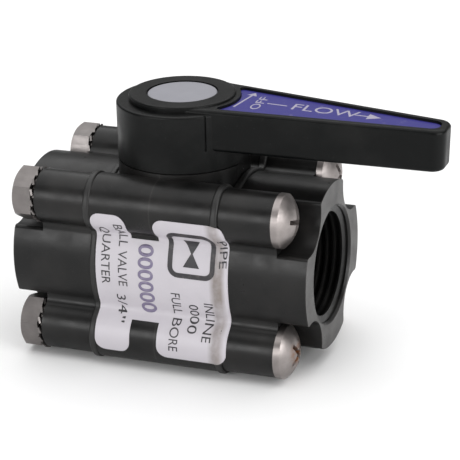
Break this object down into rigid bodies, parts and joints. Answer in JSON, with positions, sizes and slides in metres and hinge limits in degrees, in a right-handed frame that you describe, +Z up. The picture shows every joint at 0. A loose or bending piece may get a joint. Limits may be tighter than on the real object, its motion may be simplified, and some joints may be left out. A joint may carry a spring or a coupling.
{
  "type": "seacock valve",
  "caption": "In-line plastic ball valve for a boat's pipe: threaded ports at the ends, caps clamped by long screws, and a tapered lever that turns a quarter.",
  "frame": {"origin": "where the stem axis crosses the axis of the waterway, at the ball's centre", "axes": "+X along the waterway, the way the open lever points; +Z up the stem towards the lever; +Y away from the label"},
  "size_m": [0.0964, 0.0448, 0.06],
  "materials": {
    "body_plastic": "satin moulded glass-filled plastic",
    "handle_plastic": "satin moulded plastic",
    "gasket_rubber": "matt",
    "seal_rubber": "matt",
    "seat_plastic": "waxy white",
    "ball_plastic": "polished moulded plastic",
    "cap_plastic": "satin",
    "decal_film": "printed film",
    "label_film": "satin foil",
    "stainless_steel": "bright"
  },
  "bodies": {
    "housing": {"center_body": "body_plastic", "left_end_cap": "body_plastic", "right_end_cap": "body_plastic", "left_body_gasket": "gasket_rubber", "right_body_gasket": "gasket_rubber", "left_ball_seat": "seat_plastic", "right_ball_seat": "seat_plastic", "left_seat_seal": "seal_rubber", "right_seat_seal": "seal_rubber", "stem_thrust_washer": "seat_plastic", "body_label": "label_film", "body_screw_1": "stainless_steel", "body_screw_2": "stainless_steel", "body_screw_3": "stainless_steel", "body_screw_4": "stainless_steel", "hex_nut_1": "stainless_steel", "hex_nut_2": "stainless_steel", "hex_nut_3": "stainless_steel", "hex_nut_4": "stainless_steel", "lock_washer_1": "stainless_steel", "lock_washer_2": "stainless_steel", "lock_washer_3": "stainless_steel", "lock_washer_4": "stainless_steel"},
    "turning_group": {"handle": "handle_plastic", "handle_screw": "stainless_steel", "handle_cap": "cap_plastic", "handle_decal": "decal_film", "stem": "ball_plastic", "lower_stem_seal": "seal_rubber", "upper_stem_seal": "seal_rubber", "ball": "ball_plastic"}
  },
  "joints": [
    {"name": "handle_turn", "type": "hinge", "parent": "housing", "child": "turning_group", "pos_m": [0, 0, 0], "axis": [0, 0, 1], "range_deg": [0, 90]}
  ]
}
